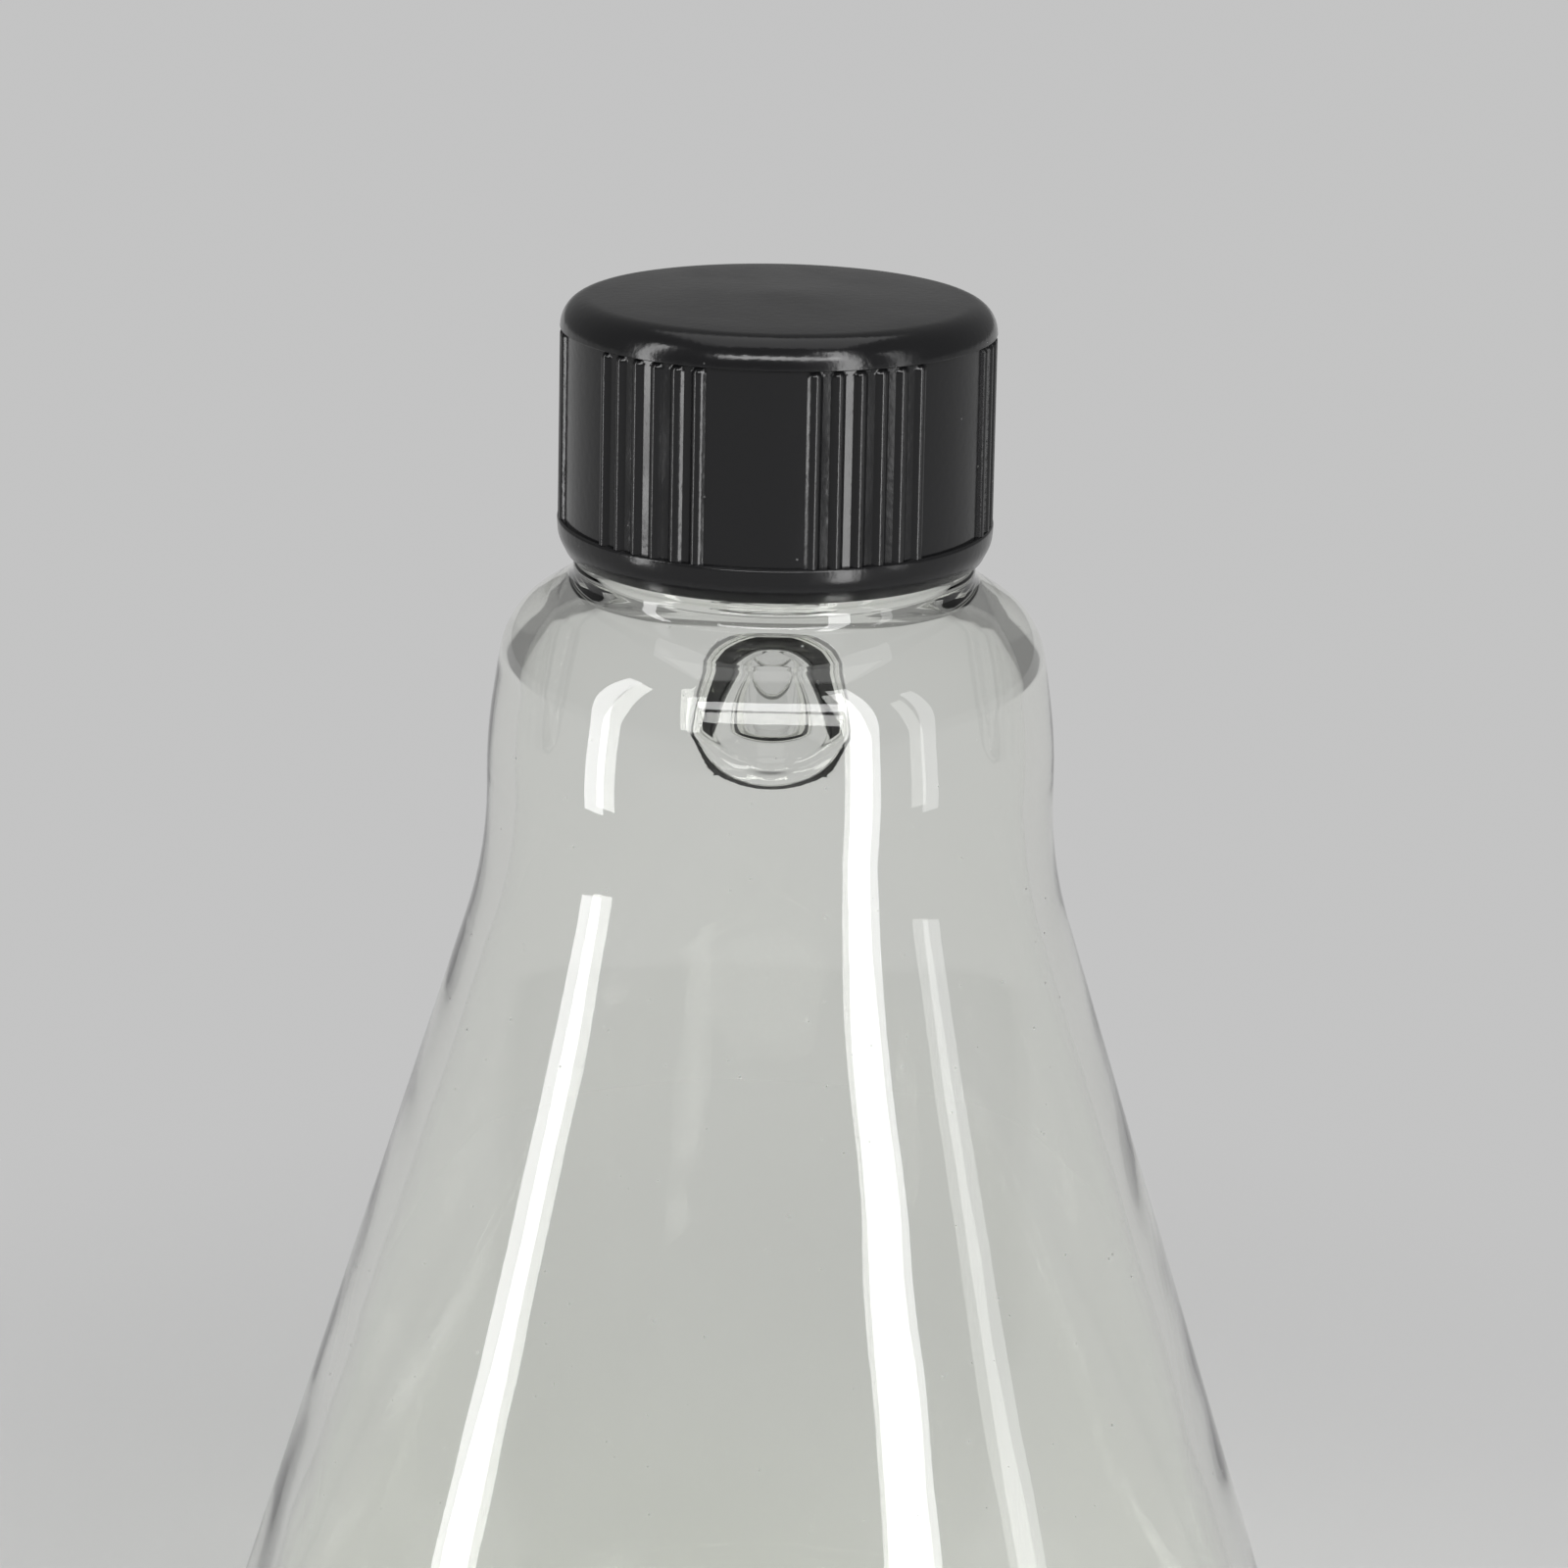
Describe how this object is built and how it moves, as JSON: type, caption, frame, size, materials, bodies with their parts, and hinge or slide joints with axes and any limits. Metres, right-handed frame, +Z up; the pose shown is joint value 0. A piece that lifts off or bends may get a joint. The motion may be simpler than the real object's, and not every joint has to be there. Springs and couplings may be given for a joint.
{
  "type": "vacuum filter flask",
  "caption": "Conical heavy-wall glass filter flask with a hose side arm on its short neck, closed by a black ribbed screw cap with a sealing liner.",
  "frame": {"origin": "centre of the base on the surface that the flask stands on", "axes": "+Z up along the axis of the cone, neck and cap; +Y along the side arm, away from the neck; +X to the side"},
  "size_m": [0.137, 0.137, 0.1984],
  "materials": {
    "glass": "clear polished",
    "cap_plastic": "moulded gloss",
    "liner_rubber": "matte",
    "liner_facing": "satin"
  },
  "bodies": {
    "flask": {"flask_body": "glass", "side_arm": "glass"},
    "liner": {"liner_backing": "liner_rubber", "liner_facing": "liner_facing"},
    "cap": {"screw_cap": "cap_plastic"}
  },
  "joints": [
    {"name": "cap_lift", "type": "slide", "parent": "flask", "child": "liner", "axis": [0, 0, 1], "range_m": [0, 0.02329]},
    {"name": "cap_turn", "type": "hinge", "parent": "liner", "child": "cap", "pos_m": [0, 0, 0.185], "axis": [0, 0, 1], "range_deg": [0, 1980]}
  ],
  "couplings": [
    {"joint": "cap_lift", "follows": "cap_turn", "m_per_rad": 0.00067376}
  ]
}
